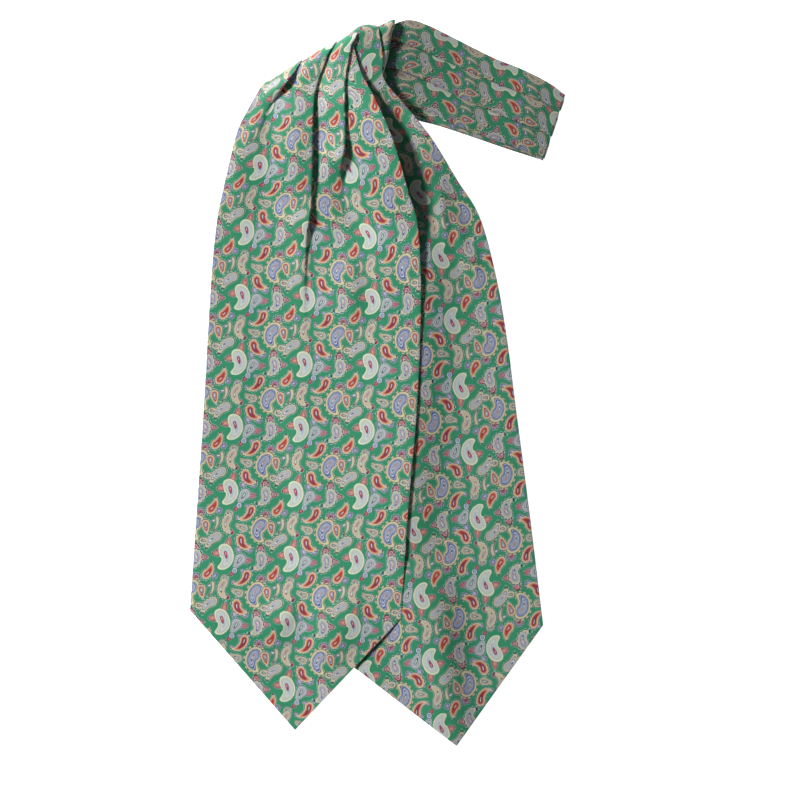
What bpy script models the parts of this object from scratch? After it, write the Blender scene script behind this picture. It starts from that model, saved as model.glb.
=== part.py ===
"""A silk day cravat laid flat, folded over itself at the neck.

The cloth runs from the front blade's point up to the neck, rolls under, goes right as the
neckband's lower run, folds back as its upper run, rolls over at the neck and comes down as
the rear blade, which lies beneath the front one.

Sizes are in millimetres and are turned into metres where the meshes are made. X runs across
the blades, Y along them towards the neck, Z up. The origin is under the middle of the whole
object, on the surface that it rests on.
"""
import math
from collections import namedtuple

import bmesh
import bpy
from mathutils import Vector

MM = 0.001

# ------------------------------------------------------------------ driving sizes
CLOTH = 1.0                 # a self-lined silk wall, a little heavier than the real one
SEAM_GAP = 0.3              # between one piece and the next
LAYER = CLOTH + SEAM_GAP    # what each flat layer adds to the heap
BLADE_FOLD_RADIUS = 1.1     # of the cloth's middle, in the front blade's slanting pleats
BAND_FOLD_RADIUS = 0.8      # and in the neckband's straight ones
BLADE_PLEAT_DROP = 4 * BLADE_FOLD_RADIUS
BAND_PLEAT_DROP = 4 * BAND_FOLD_RADIUS
CLIMB = 5.0                 # over which a panel climbs onto the next pleat
SHORTEST_CLIMB = 2.0
CREST = 1.6                 # level cloth between the climb and the fold's edge
COLUMN_GAP = 0.6            # least distance between one column of a section and the next
FLATTEST_TURN = 0.02        # radians, where a pleat has opened out

LOWER_RUN_THICK = 2.0
TOP_RUN_LEVEL = LOWER_RUN_THICK + SEAM_GAP + CLOTH / 2
NECK_PLEAT_LEVEL = TOP_RUN_LEVEL + BAND_PLEAT_DROP + LAYER
REAR_NECK_LEVEL = NECK_PLEAT_LEVEL + LAYER
FLOOR_LEVEL = CLOTH / 2     # a wall's middle where it rests on the surface

REAR_FALL = 62.0            # beyond the neckband, over which the rear blade comes down
FRONT_FALL = 92.0           # the front blade bridges further
RAMP_WIDTH = 12.0           # the front blade comes off the heap's left edge over this width
NECK_RAMP_WIDTH = 40.0      # and over this one where the heap is deepest
BAND_END_RISE = 2.8         # the upper run's folded right end stands this much higher
BAND_END_FROM = 92.0        # X where it starts to rise
BAND_END_LENGTH = 24.0
LIFT_FROM = 0.62            # share of a section's width where a lifted border starts to rise

FRONT_ROLL_TURN = math.pi   # how far each roll turns under
REAR_ROLL_TURN = math.radians(150)
NECK_PLEAT_ROLL_TURN = math.radians(100)
BAND_ROLL_TURN = math.pi
FRONT_ROLL_CORNER = 9.0     # left of its pleats, the front blade's roll closes over this width

# ------------------------------------------------------------------ how finely it is drawn
TURN_STEPS = 4              # faces round one turn of a pleat
EDGE_STEPS = 5              # faces round the lower run's edge
REAR_COLUMNS = 13
NECK_PLEAT_COLUMNS = 5
CLIMB_SHARES = (0.0, 0.33, 0.67, 1.0)
PANEL_SHARES = (0.25, 0.5, 0.75, 1.0)
TIP_SHARES = (0.5, 1.05)    # rows between the last section and the point, the last one past it

# ------------------------------------------------------------------ tables
# A section runs across a piece from its left border to its right one. bow moves its middle
# towards the neck, lift raises its right border. A fold's edge is measured from the left
# border; tuck is the straight part hidden under it; turn is 1 for cloth folded flat back on
# itself and 0 where the pleat has opened out.
Section = namedtuple("Section", "left_x left_y right_x right_y bow lift")
Fold = namedtuple("Fold", "edge tuck turn")

FRONT_SECTIONS = [
    Section(-84.4, 204.6, -18.5, 236.6, 0.8, 0.0),
    Section(-92.0, 191.3, -13.0, 217.2, 1.0, 0.8),
    Section(-99.0, 177.3, -4.6, 201.1, 0.5, 2.2),
    Section(-104.6, 156.3, 7.0, 175.9, 0.0, 3.0),
    Section(-109.6, 134.6, 14.7, 152.8, 0.0, 2.6),
    Section(-113.4, 116.4, 20.6, 131.8, 0.0, 1.8),
    Section(-116.2, 93.3, 26.2, 112.6, 0.0, 0.8),
    Section(-118.3, 65.3, 28.8, 77.9, 0.0, 0.0),
    Section(-120.4, 30.3, 28.4, 33.1, 0.0, 0.0),
    Section(-123.6, -25.7, 25.5, -26.4, 0.0, 0.0),
    Section(-127.7, -85.2, 20.0, -88.7, 0.0, 0.0),
    Section(-132.6, -158.7, 15.0, -164.3, 0.0, 0.0),
]
FRONT_TIP = (-59.2, -242.7)

# one row for each section above, a fold in each column, left to right
FRONT_FOLDS = [
    (Fold(28.5, 6.0, 1.00), Fold(53.5, 11.0, 1.00), Fold(71.8, 8.0, 1.00)),
    (Fold(19.5, 0.5, 0.35), Fold(51.2, 11.5, 1.00), Fold(72.3, 10.0, 1.00)),
    (Fold(18.0, 0.5, 0.10), Fold(54.8, 10.0, 1.00), Fold(77.3, 8.5, 1.00)),
    (Fold(19.0, 0.5, 0.00), Fold(59.0, 7.5, 1.00), Fold(82.1, 4.6, 1.00)),
    (Fold(25.0, 0.5, 0.00), Fold(63.3, 5.0, 1.00), Fold(84.5, 1.0, 0.90)),
    (Fold(33.0, 0.5, 0.00), Fold(66.1, 3.2, 1.00), Fold(88.0, 0.5, 0.40)),
    (Fold(42.0, 0.5, 0.00), Fold(66.5, 0.6, 0.75), Fold(92.0, 0.5, 0.15)),
    (Fold(49.0, 0.5, 0.00), Fold(66.8, 0.5, 0.35), Fold(96.0, 0.5, 0.00)),
    (Fold(53.0, 0.5, 0.00), Fold(69.5, 0.5, 0.12), Fold(100.0, 0.5, 0.00)),
    (Fold(64.5, 0.5, 0.00), Fold(80.0, 0.5, 0.00), Fold(106.0, 0.5, 0.00)),
    (Fold(75.5, 0.5, 0.00), Fold(91.0, 0.5, 0.00), Fold(112.0, 0.5, 0.00)),
    (Fold(89.0, 0.5, 0.00), Fold(104.0, 0.5, 0.00), Fold(122.0, 0.5, 0.00)),
]

REAR_SECTIONS = [
    Section(-14.6, 242.0, 0.1, 243.9, 3.3, 0.0),
    Section(-16.5, 224.0, 2.4, 228.5, 1.5, 0.0),
    Section(-40.2, 201.8, 3.2, 212.3, 0.0, 0.0),
    Section(-48.6, 185.7, 16.4, 195.9, 0.0, 0.0),
    Section(-55.6, 163.3, 36.0, 171.7, 0.0, 0.0),
    Section(-60.6, 128.3, 54.2, 142.3, 0.0, 0.0),
    Section(-62.6, 93.3, 70.4, 115.7, 0.0, 0.0),
    Section(-59.8, 48.5, 82.2, 72.3, 0.0, 0.0),
    Section(-55.6, 2.3, 89.9, 26.8, 0.0, 0.0),
    Section(-51.4, -30.6, 94.8, -11.7, 0.0, 0.0),
    Section(-41.6, -109.7, 105.0, -90.1, 0.0, 0.0),
    Section(-31.8, -188.1, 114.6, -169.2, 0.0, 0.0),
]
REAR_TIP = (53.9, -253.9)

NECK_PLEAT_SECTIONS = [
    Section(1.7, 245.4, 10.1, 249.4, 0.0, 0.0),
    Section(-3.2, 237.5, 8.0, 242.4, 0.0, 0.0),
    Section(-6.6, 229.1, 6.4, 231.2, 0.0, 0.0),
    Section(-7.4, 220.7, 4.6, 223.5, 0.0, 0.0),
    Section(-7.4, 210.9, 1.0, 212.3, 0.0, 0.0),
]

# The neckband's sections run from its upper edge to its lower one.
TOP_RUN_SECTIONS = [
    Section(129.2, 202.2, 113.4, 156.2, 0.0, 0.0),
    Section(118.0, 210.4, 106.0, 159.1, 0.0, 0.0),
    Section(98.4, 220.2, 90.6, 164.4, 0.0, 0.0),
    Section(78.8, 228.1, 73.1, 170.0, 0.0, 0.0),
    Section(55.4, 239.8, 51.4, 177.3, 0.0, 0.0),
    Section(35.3, 249.8, 33.9, 183.6, 0.0, 0.0),
    Section(22.0, 254.0, 22.0, 188.2, 0.0, 0.0),
    Section(12.2, 252.0, 7.4, 195.5, 0.0, 0.0),
    Section(5.9, 247.3, 0.4, 198.3, 0.0, 0.0),
]
TOP_RUN_FOLDS = [
    (Fold(11.3, 5.5, 1.0), Fold(30.3, 10.5, 1.0), Fold(46.6, 8.5, 1.0)),
    (Fold(13.9, 6.5, 1.0), Fold(33.4, 10.5, 1.0), Fold(50.6, 9.0, 1.0)),
    (Fold(15.9, 8.0, 1.0), Fold(36.5, 11.0, 1.0), Fold(54.0, 9.5, 1.0)),
    (Fold(16.2, 8.5, 1.0), Fold(36.3, 11.0, 1.0), Fold(55.6, 10.5, 1.0)),
    (Fold(17.9, 9.5, 1.0), Fold(38.0, 11.0, 1.0), Fold(58.2, 11.0, 1.0)),
    (Fold(19.1, 10.0, 1.0), Fold(38.9, 11.0, 1.0), Fold(59.6, 11.0, 1.0)),
    (Fold(18.2, 10.0, 1.0), Fold(38.4, 11.0, 1.0), Fold(58.6, 11.0, 1.0)),
    (Fold(12.4, 5.5, 1.0), Fold(31.3, 10.5, 1.0), Fold(50.2, 10.5, 1.0)),
    (Fold(10.0, 4.0, 1.0), Fold(26.0, 8.0, 1.0), Fold(42.0, 8.0, 1.0)),
]

# The lower run's rings: its upper and lower edge, and how thick its layers are heaped.
Ring = namedtuple("Ring", "upper_x upper_y lower_x lower_y height")
LOWER_RUN_RINGS = [
    Ring(-72.4, 201.8, -76.6, 194.1, 1.4),
    Ring(-55.6, 212.3, -58.4, 187.1, 4.6),
    Ring(-38.2, 220.0, -40.2, 191.3, 5.8),
    Ring(-19.2, 222.5, -17.8, 189.9, 6.6),
    Ring(-6.9, 227.0, -6.2, 189.9, 6.6),
    Ring(-2.4, 233.0, -1.0, 189.9, 2.0),
    Ring(11.5, 246.5, 14.4, 189.0, 2.0),
    Ring(27.0, 248.5, 26.9, 183.8, 2.0),
    Ring(42.3, 242.4, 42.3, 179.9, 2.0),
    Ring(73.8, 226.3, 68.9, 171.0, 2.0),
    Ring(94.8, 215.8, 88.6, 164.2, 2.0),
    Ring(122.8, 201.1, 111.0, 157.0, 2.0),
]

# ------------------------------------------------------------------ heights of the heap
BAND_EDGE_POINT = (26.9, 183.6)         # on the neckband's lower edge
BAND_DIRECTION = (0.952, -0.305)        # along it, away from the neck
# where the front blade starts to come down, just left of the rear blade and the hidden layers
HeapEdge = namedtuple("HeapEdge", "y x")
HEAP_EDGE = [
    HeapEdge(240.0, -54.0), HeapEdge(200.0, -60.0), HeapEdge(163.0, -59.5), HeapEdge(128.0, -65.0),
    HeapEdge(93.0, -68.0), HeapEdge(48.0, -63.5), HeapEdge(-30.0, -55.0), HeapEdge(-110.0, -45.5),
    HeapEdge(-188.0, -36.0), HeapEdge(-254.0, -28.0),
]


def smooth(value):
    """0 to 1 with soft ends."""
    value = min(max(value, 0.0), 1.0)
    return value * value * (3.0 - 2.0 * value)


def beyond_band(x, y):
    """How far a point lies past the neckband's lower edge, towards the blades' points."""
    along_x, along_y = BAND_DIRECTION
    return (x - BAND_EDGE_POINT[0]) * along_y - (y - BAND_EDGE_POINT[1]) * along_x


def heap_edge_x(y):
    """The heap's left edge, straight from point to point."""
    y = min(max(y, HEAP_EDGE[-1].y), HEAP_EDGE[0].y)
    for upper, lower in zip(HEAP_EDGE, HEAP_EDGE[1:]):
        if y >= lower.y:
            return upper.x + (upper.y - y) / (upper.y - lower.y) * (lower.x - upper.x)


def rear_height(x, y):
    """The middle of the rear blade's wall."""
    fall = 1.0 - smooth(beyond_band(x, y) / REAR_FALL)
    return FLOOR_LEVEL + (REAR_NECK_LEVEL - FLOOR_LEVEL) * fall


def front_height(x, y):
    """The middle of the front blade's wall, before its pleats."""
    fall = 1.0 - smooth(beyond_band(x, y) / FRONT_FALL)
    over_rear = (REAR_NECK_LEVEL - FLOOR_LEVEL) * fall + LAYER
    ramp_width = RAMP_WIDTH + (NECK_RAMP_WIDTH - RAMP_WIDTH) * fall
    ramp = smooth((x - heap_edge_x(y) + ramp_width) / ramp_width)
    return FLOOR_LEVEL + over_rear * ramp


def neck_pleat_height(x, y):
    return NECK_PLEAT_LEVEL


def top_run_height(x, y):
    """The band's upper run rises where it folds over at its right end."""
    return TOP_RUN_LEVEL + BAND_END_RISE * smooth((x - BAND_END_FROM) / BAND_END_LENGTH)


# ------------------------------------------------------------------ sections
def between(rows, position, field):
    """A value along the rows, on a smooth curve through them."""
    last = len(rows) - 1
    index = min(int(position), last - 1)
    t = position - index
    before, start, end, after = (field(rows[min(max(i, 0), last)])
                                 for i in (index - 1, index, index + 1, index + 2))
    slope_start = (end - before) / (2.0 if index > 0 else 1.0)
    slope_end = (after - start) / (2.0 if index + 2 <= last else 1.0)
    return ((2 * t ** 3 - 3 * t ** 2 + 1) * start + (t ** 3 - 2 * t ** 2 + t) * slope_start
            + (3 * t ** 2 - 2 * t ** 3) * end + (t ** 3 - t ** 2) * slope_end)


def section_at(sections, position):
    return Section(*(between(sections, position, lambda row, name=name: getattr(row, name))
                     for name in Section._fields))


def folds_at(table, position):
    count = len(table[0])
    return [Fold(*(between(table, position, lambda row, k=k, name=name: getattr(row[k], name))
                   for name in Fold._fields))
            for k in range(count)]


def pleated_path(width, folds, fold_radius):
    """(across, height) of each column of a section that runs through its pleats."""
    path = [(0.0, 0.0)]
    start = 0.0
    last_edge = 0.0
    turn_length = math.pi * fold_radius
    for fold in folds:
        angle = max(math.pi * fold.turn, FLATTEST_TURN)
        radius = turn_length / angle
        overhang = radius * math.sin(min(angle, math.pi / 2))
        fold_start = fold.edge - overhang
        drop = 2 * radius * (1 - math.cos(angle)) + fold.tuck * math.sin(angle)
        # the panel stays low until it is clear of the last fold, then climbs onto this one
        inner_turn = fold_start + min(fold.tuck * math.cos(angle), 0.0)
        clear = last_edge + LAYER if last_edge else inner_turn - CLIMB
        climb_start = max(clear, start + COLUMN_GAP)
        climb_end = min(climb_start + CLIMB, inner_turn, fold_start - CREST)
        climb_start = min(climb_start, climb_end - SHORTEST_CLIMB)
        for share in CLIMB_SHARES:
            across = climb_start + share * (climb_end - climb_start)
            path.append((across, drop * smooth(share)))
        path.append(((climb_end + fold_start) / 2, drop))
        path.append((fold_start, drop))
        # down and back under, along the tuck, and forward again
        across, height = fold_start, drop
        for step in range(1, TURN_STEPS + 1):
            heading = angle * step / TURN_STEPS
            path.append((across + radius * math.sin(heading),
                         height - radius * (1 - math.cos(heading))))
        across, height = path[-1]
        across += fold.tuck * math.cos(angle)
        height -= fold.tuck * math.sin(angle)
        path.append((across, height))
        for step in range(1, TURN_STEPS + 1):
            heading = angle * (1 - step / TURN_STEPS)
            path.append((across + radius * (math.sin(angle) - math.sin(heading)),
                         height - radius * (math.cos(heading) - math.cos(angle))))
        start = path[-1][0]
        last_edge = fold.edge
    rest = max(start, last_edge) + COLUMN_GAP
    path.append((rest, 0.0))
    for share in PANEL_SHARES:
        path.append((rest + share * (width - rest), 0.0))
    return path


def plain_path(width, steps):
    return [(width * step / steps, 0.0) for step in range(steps + 1)]


# ------------------------------------------------------------------ rolls and walls
# A roll turns the cloth down and under beyond its first section. low is the level that its
# middle reaches underneath, sweep how far it turns, slip how far it runs along the fold.
Roll = namedtuple("Roll", "low sweep slip steps")


def plan_frame(section):
    """The section's left end, its width, and the plan directions along and out of it."""
    left = Vector((section.left_x, section.left_y))
    along = Vector((section.right_x, section.right_y)) - left
    width = along.length
    along.normalize()
    return left, width, along, Vector((-along.y, along.x))


def wall_row(section, path, height):
    """The points of one row, in the plan and up."""
    left, width, along, outward = plan_frame(section)
    row = []
    for across, rise in path:
        share = across / width
        plan = left + along * across + outward * (section.bow * 4 * share * (1 - share))
        lift = section.lift * smooth((share - LIFT_FROM) / (1 - LIFT_FROM))
        row.append(Vector((plan.x, plan.y, height(plan.x, plan.y) + lift + rise)))
    return row


def roll_rows(section, path, first_row, roll):
    """Rows that turn under about an axis along the first section, farthest first."""
    along, outward = plan_frame(section)[2:]
    rows = []
    for step in range(roll.steps, 0, -1):
        angle = roll.sweep * step / roll.steps
        row = []
        for (across, rise), point in zip(path, first_row):
            radius = (point.z - rise - roll.low(across)) / 2
            plan = (point.xy + outward * ((radius + rise) * math.sin(angle))
                    + along * (roll.slip * radius * math.sin(min(angle, math.pi / 2))))
            up = point.z - (radius + rise) * (1 - math.cos(angle))
            row.append(Vector((plan.x, plan.y, up)))
        rows.append(row)
    return rows


def tip_rows(section, path, height, tip):
    """Rows that carry a blade straight on past its point, to be cut to the point later."""
    left, width, along, outward = plan_frame(section)
    middle = left + along * (width / 2)
    reach = Vector(tip) - middle
    rows = []
    for share in TIP_SHARES:
        shift = reach * share
        moved = section._replace(left_x=section.left_x + shift.x, left_y=section.left_y + shift.y,
                                 right_x=section.right_x + shift.x,
                                 right_y=section.right_y + shift.y)
        rows.append(wall_row(moved, path, height))
    return rows


def grid_mesh(rows):
    """A grid of faces whose vertices are laid onto the rows."""
    columns = len(rows[0])
    sheet = bmesh.new()
    bmesh.ops.create_grid(sheet, x_segments=columns - 1, y_segments=len(rows) - 1, size=1.0)
    for vertex in sheet.verts:
        column = round((vertex.co.x + 1) / 2 * (columns - 1))
        row = round((1 - vertex.co.y) / 2 * (len(rows) - 1))
        vertex.co = rows[row][column] * MM
    return sheet


def cut_to_point(sheet, section, tip):
    """Cut a blade's end along the two straight edges that meet at its point."""
    point = Vector((tip[0], tip[1], 0.0))
    corners = (Vector((section.left_x, section.left_y, 0.0)),
               Vector((section.right_x, section.right_y, 0.0)))
    for corner, side in zip(corners, (1, -1)):
        edge = point - corner
        outward = Vector((edge.y, -edge.x, 0.0)) * side
        bmesh.ops.bisect_plane(sheet, geom=sheet.verts[:] + sheet.edges[:] + sheet.faces[:],
                               dist=1e-7, plane_co=corner * MM, plane_no=outward,
                               clear_outer=True)


def cloth_wall(name, sections, height, paths, per_section=2, roll=None, tip=None):
    """One stretch of cloth: a surface through its sections, made a wall by Solidify."""
    count = (len(sections) - 1) * per_section
    rows = []
    for step in range(count + 1):
        position = step / per_section
        section = section_at(sections, position)
        path = paths(position, plan_frame(section)[1])
        rows.append(wall_row(section, path, height))
        if step == 0:
            first_path = path
    if tip:
        rows += tip_rows(section, path, height, tip)
    if roll:
        rows = roll_rows(sections[0], first_path, rows[0], roll) + rows
    sheet = grid_mesh(rows)
    if tip:
        cut_to_point(sheet, sections[-1], tip)
    return add_object(name, sheet, thickness=CLOTH)


def rounded_run(name, rings):
    """A flat-bottomed solid with round edges, lofted through its rings."""
    solid = bmesh.new()
    loops = []
    for ring in rings:
        upper = Vector((ring.upper_x, ring.upper_y))
        lower = Vector((ring.lower_x, ring.lower_y))
        across = (lower - upper).normalized()
        radius = ring.height / 2
        points = []
        for start, corner, inward in ((-90, upper, across), (90, lower, -across)):
            for step in range(EDGE_STEPS + 1):
                angle = math.radians(start + 180 * step / EDGE_STEPS)
                up = radius + radius * math.sin(angle)
                plan = corner + inward * (radius - radius * abs(math.cos(angle)))
                points.append(solid.verts.new(Vector((plan.x, plan.y, up)) * MM))
        loops.append(points)
    for loop, following in zip(loops, loops[1:]):
        for i in range(len(loop)):
            j = (i + 1) % len(loop)
            solid.faces.new((loop[i], loop[j], following[j], following[i]))
    solid.faces.new(loops[0])
    solid.faces.new(reversed(loops[-1]))
    bmesh.ops.recalc_face_normals(solid, faces=solid.faces[:])
    return add_object(name, solid)


def add_object(name, shape, thickness=None):
    mesh = bpy.data.meshes.new(name)
    shape.to_mesh(mesh)
    shape.free()
    mesh.shade_smooth()
    mesh.set_sharp_from_angle(angle=math.radians(60))
    piece = bpy.data.objects.new(name, mesh)
    collection.objects.link(piece)
    if thickness:
        wall = piece.modifiers.new("wall", "SOLIDIFY")
        wall.thickness = thickness * MM
        wall.offset = 0.0
    return piece


# ------------------------------------------------------------------ materials
def linear(channel):
    channel /= 255.0
    return channel / 12.92 if channel <= 0.04045 else ((channel + 0.055) / 1.055) ** 2.4


def silk(name, hex_colour):
    """Printed silk twill, as one even colour."""
    material = bpy.data.materials.new(name)
    material.use_nodes = True
    shader = material.node_tree.nodes["Principled BSDF"]
    channels = [int(hex_colour[i:i + 2], 16) for i in (1, 3, 5)]
    shader.inputs["Base Color"].default_value = (*(linear(c) for c in channels), 1.0)
    shader.inputs["Roughness"].default_value = 0.45
    shader.inputs["Metallic"].default_value = 0.0
    return material


# ------------------------------------------------------------------ pieces
def front_blade():
    def paths(position, width):
        return pleated_path(width, folds_at(FRONT_FOLDS, position), BLADE_FOLD_RADIUS)

    def low(across):
        """The pleats' inner layers stay above the outer ones underneath."""
        return FLOOR_LEVEL + BLADE_PLEAT_DROP * smooth(across / FRONT_ROLL_CORNER)

    roll = Roll(low, sweep=FRONT_ROLL_TURN, slip=1.8, steps=7)
    piece = cloth_wall("front_blade", FRONT_SECTIONS, front_height, paths, roll=roll,
                       tip=FRONT_TIP)
    piece.data.materials.append(silk("front_silk", "#4F9470"))


def rear_blade():
    def paths(position, width):
        return plain_path(width, REAR_COLUMNS)

    def low(across):
        return TOP_RUN_LEVEL

    roll = Roll(low, sweep=REAR_ROLL_TURN, slip=0.1, steps=5)
    piece = cloth_wall("rear_blade", REAR_SECTIONS, rear_height, paths, roll=roll, tip=REAR_TIP)
    piece.data.materials.append(silk("rear_silk", "#468A67"))


def rear_neck_pleat():
    def paths(position, width):
        return plain_path(width, NECK_PLEAT_COLUMNS)

    def low(across):
        return TOP_RUN_LEVEL + CLOTH / 2

    roll = Roll(low, sweep=NECK_PLEAT_ROLL_TURN, slip=0.5, steps=4)
    piece = cloth_wall("rear_neck_pleat", NECK_PLEAT_SECTIONS, neck_pleat_height, paths,
                       roll=roll)
    piece.data.materials.append(silk("pleat_silk", "#3F7F5E"))


def neckband_top_run():
    def paths(position, width):
        return pleated_path(width, folds_at(TOP_RUN_FOLDS, position), BAND_FOLD_RADIUS)

    def low(across):
        return FLOOR_LEVEL + BAND_PLEAT_DROP

    roll = Roll(low, sweep=BAND_ROLL_TURN, slip=0.3, steps=6)
    piece = cloth_wall("neckband_top_run", TOP_RUN_SECTIONS, top_run_height, paths,
                       per_section=1, roll=roll)
    piece.data.materials.append(silk("band_silk", "#438463"))


def neckband_lower_run():
    piece = rounded_run("neckband_lower_run", LOWER_RUN_RINGS)
    piece.data.materials.append(silk("hidden_silk", "#3A7557"))


for old in list(bpy.data.objects):
    bpy.data.objects.remove(old, do_unlink=True)
collection = bpy.data.collections.new("silk_cravat")
bpy.context.scene.collection.children.link(collection)

front_blade()
rear_blade()
rear_neck_pleat()
neckband_top_run()
neckband_lower_run()
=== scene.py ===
# %% [markdown]
# # A silk cravat laid flat
#
# A day cravat is one long flat tube of printed silk. Its two ends are wide pointed blades, and
# the middle, which goes round the neck, is pleated to less than half that width and stitched
# down. Here it is laid on a table and folded over itself at the neck.
#
# The imported solids already have its form. This lesson makes the cloth that is seen: thin
# sheets with soft pleats, and a paisley print that follows them through every fold, because
# it is drawn on the flat cloth and not on the finished heap.

# %% The imported solids
import math
from collections import namedtuple
from itertools import accumulate

import bmesh
import bpy
import numpy as np
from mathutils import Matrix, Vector


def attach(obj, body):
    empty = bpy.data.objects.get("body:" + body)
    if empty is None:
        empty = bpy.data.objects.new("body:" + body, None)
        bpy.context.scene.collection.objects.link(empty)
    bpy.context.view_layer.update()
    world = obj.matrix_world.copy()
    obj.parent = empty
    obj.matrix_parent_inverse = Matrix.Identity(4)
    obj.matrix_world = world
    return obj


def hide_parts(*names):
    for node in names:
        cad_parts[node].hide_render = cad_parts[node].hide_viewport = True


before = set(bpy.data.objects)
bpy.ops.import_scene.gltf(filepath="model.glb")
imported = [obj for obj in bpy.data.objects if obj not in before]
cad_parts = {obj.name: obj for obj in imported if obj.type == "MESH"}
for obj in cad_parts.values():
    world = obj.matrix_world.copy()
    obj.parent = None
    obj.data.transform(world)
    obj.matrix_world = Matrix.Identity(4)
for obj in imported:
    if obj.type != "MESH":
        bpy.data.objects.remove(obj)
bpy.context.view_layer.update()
scene = bpy.context.scene
MM = 0.001
print("solids:", sorted(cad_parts))

# %% [markdown]
# ## Camera, table and light
#
# The camera looks straight down from far away with a long lens, so that the sheet keeps its
# proportions. The table is of white acrylic lit from below, which keeps the ground white right
# up to the cloth. Pleats show only in a low light from one side, so a sun stands at the upper
# left, and a weak sky fills the shadows.

# %% Camera straight above
VIEW_WIDTH = 560.0  # mm of table across the square picture
VIEW_CENTRE = (14.35, -11.69)
CAMERA_HEIGHT = 4000.0
SENSOR = 36.0

camera_data = bpy.data.cameras.new("camera")
camera_data.sensor_width = SENSOR
camera_data.lens = SENSOR * CAMERA_HEIGHT / VIEW_WIDTH
camera = bpy.data.objects.new("camera", camera_data)
camera.location = (VIEW_CENTRE[0] * MM, VIEW_CENTRE[1] * MM, CAMERA_HEIGHT * MM)
scene.collection.objects.link(camera)
scene.camera = camera
print("lens", round(camera_data.lens), "mm")

# %% Helpers for colours, nodes and materials
def linear(hex_colour):
    """An sRGB hex colour as linear RGBA."""
    channels = [int(hex_colour[i:i + 2], 16) / 255 for i in (1, 3, 5)]
    return (*(c / 12.92 if c <= 0.04045 else ((c + 0.055) / 1.055) ** 2.4 for c in channels), 1.0)


def set_inputs(tree, node, **inputs):
    """Each input is a value or another node's output; i2 is the third input of any name."""
    for key, value in inputs.items():
        numbered = key[0] == "i" and key[1:].isdigit()
        socket = node.inputs[int(key[1:]) if numbered else key.replace("_", " ")]
        if isinstance(value, bpy.types.NodeSocket):
            tree.links.new(value, socket)
        else:
            socket.default_value = value


def add_node(tree, kind, settings=None, **inputs):
    """Adds one node, with its properties and its inputs."""
    node = tree.nodes.new("ShaderNode" + kind)
    for key, value in (settings or {}).items():
        setattr(node, key, value)
    set_inputs(tree, node, **inputs)
    return node


def new_material(name):
    """A material, its node tree and its shader."""
    material = bpy.data.materials.new(name)
    material.use_nodes = True
    return material, material.node_tree, material.node_tree.nodes["Principled BSDF"]

# %% The table
TABLE_HALF_SIDE = 4.0  # m

floor_mesh = bpy.data.meshes.new("table_top")
floor_shape = bmesh.new()
bmesh.ops.create_grid(floor_shape, x_segments=1, y_segments=1, size=TABLE_HALF_SIDE)
floor_shape.to_mesh(floor_mesh)
floor_shape.free()
floor = bpy.data.objects.new("table_top", floor_mesh)
scene.collection.objects.link(floor)
acrylic, acrylic_tree, acrylic_shader = new_material("lit_white_acrylic")
set_inputs(acrylic_tree, acrylic_shader, Base_Color=linear("#E8E8E8"), Roughness=0.6,
           Emission_Color=linear("#FFFFFF"), Emission_Strength=1.0)
floor_mesh.materials.append(acrylic)
print("table", [round(side, 1) for side in floor.dimensions], "m")

# %% Sun and sky
SUN_FROM = Vector((-1.0, 0.5, 0.72))
SUN_STRENGTH = 4.65
SUN_ACROSS = 12  # degrees: a wide sun gives its shadows soft edges
SKY_STRENGTH = 0.14

scene.view_settings.view_transform = "Standard"
sun_data = bpy.data.lights.new("window_sun", "SUN")
sun_data.energy = SUN_STRENGTH
sun_data.angle = math.radians(SUN_ACROSS)
sun = bpy.data.objects.new("window_sun", sun_data)
sun.rotation_euler = SUN_FROM.to_track_quat("Z", "Y").to_euler()
scene.collection.objects.link(sun)

sky = bpy.data.worlds.new("pale_sky")
sky.use_nodes = True
set_inputs(sky.node_tree, sky.node_tree.nodes["Background"], Color=linear("#F2F6FA"),
           Strength=SKY_STRENGTH)
scene.world = sky
print("sun", SUN_STRENGTH, "against sky", SKY_STRENGTH)

# %% [markdown]
# ## How the cloth lies
#
# Each stretch of cloth is described the way a maker would mark it: sections across the cloth,
# one after another along its length, with the place of every pleat's edge in each section.
# Between two rows of a table the cloth follows a smooth curve. A simulation would let pleats
# fall where they like, and here each has its place. Sizes are in millimetres.

# %% Sizes of cloth and folds
CLOTH = 0.8  # two layers of silk pressed together
LAYER = 1.3  # what each flat layer adds to the heap
CLOTH_WIDTH = 147.7  # from border to border, laid out flat
BLADE_FOLD_RADIUS = 1.1  # in the front blade's soft pleats
BAND_FOLD_RADIUS = 0.45  # and in the neckband's pressed ones
BAND_PLEAT_DROP = 4 * BAND_FOLD_RADIUS
CLIMB = 30.0  # over which a panel climbs onto the next pleat
SHORTEST_CLIMB = 2.0
CREST = 1.6  # level cloth between the climb and the fold's edge
COLUMN_GAP = 0.6  # the least between two pleats' columns
FLATTEST_TURN = 0.02  # radians, for a pleat that has opened out

FLOOR_LEVEL = CLOTH / 2
TOP_RUN_LEVEL = 3.6
NECK_FOLD_RADIUS = 2.4  # of the strip's rounded edge
NECK_CLEARANCE = 1.8  # of air over the neckband
NECK_PLEAT_LEVEL = (TOP_RUN_LEVEL + BAND_PLEAT_DROP + CLOTH + 2 * NECK_FOLD_RADIUS
                    + NECK_CLEARANCE)
REAR_NECK_LEVEL = NECK_PLEAT_LEVEL + LAYER
REAR_FALL = 62.0  # beyond the neckband, over which the rear blade comes down
FRONT_FALL = 80.0  # the same for the front blade
LEAN_FROM = -95.0  # left of this x a raised blade is at its lowest
LEAN_WIDTH = 85.0  # and this much further right it has its full height
LEAN_LEAST = 0.45  # its lowest, as a share of that
RAMP_WIDTH = 22.0  # over which the front blade climbs onto the rear one
BAND_END_DROP = 0.5  # at its right end the neckband is pressed down
BAND_END_FROM = 104.0
BAND_END_LENGTH = 24.0
LIFT_FROM = 0.62  # share of the width where a lift begins

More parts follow.
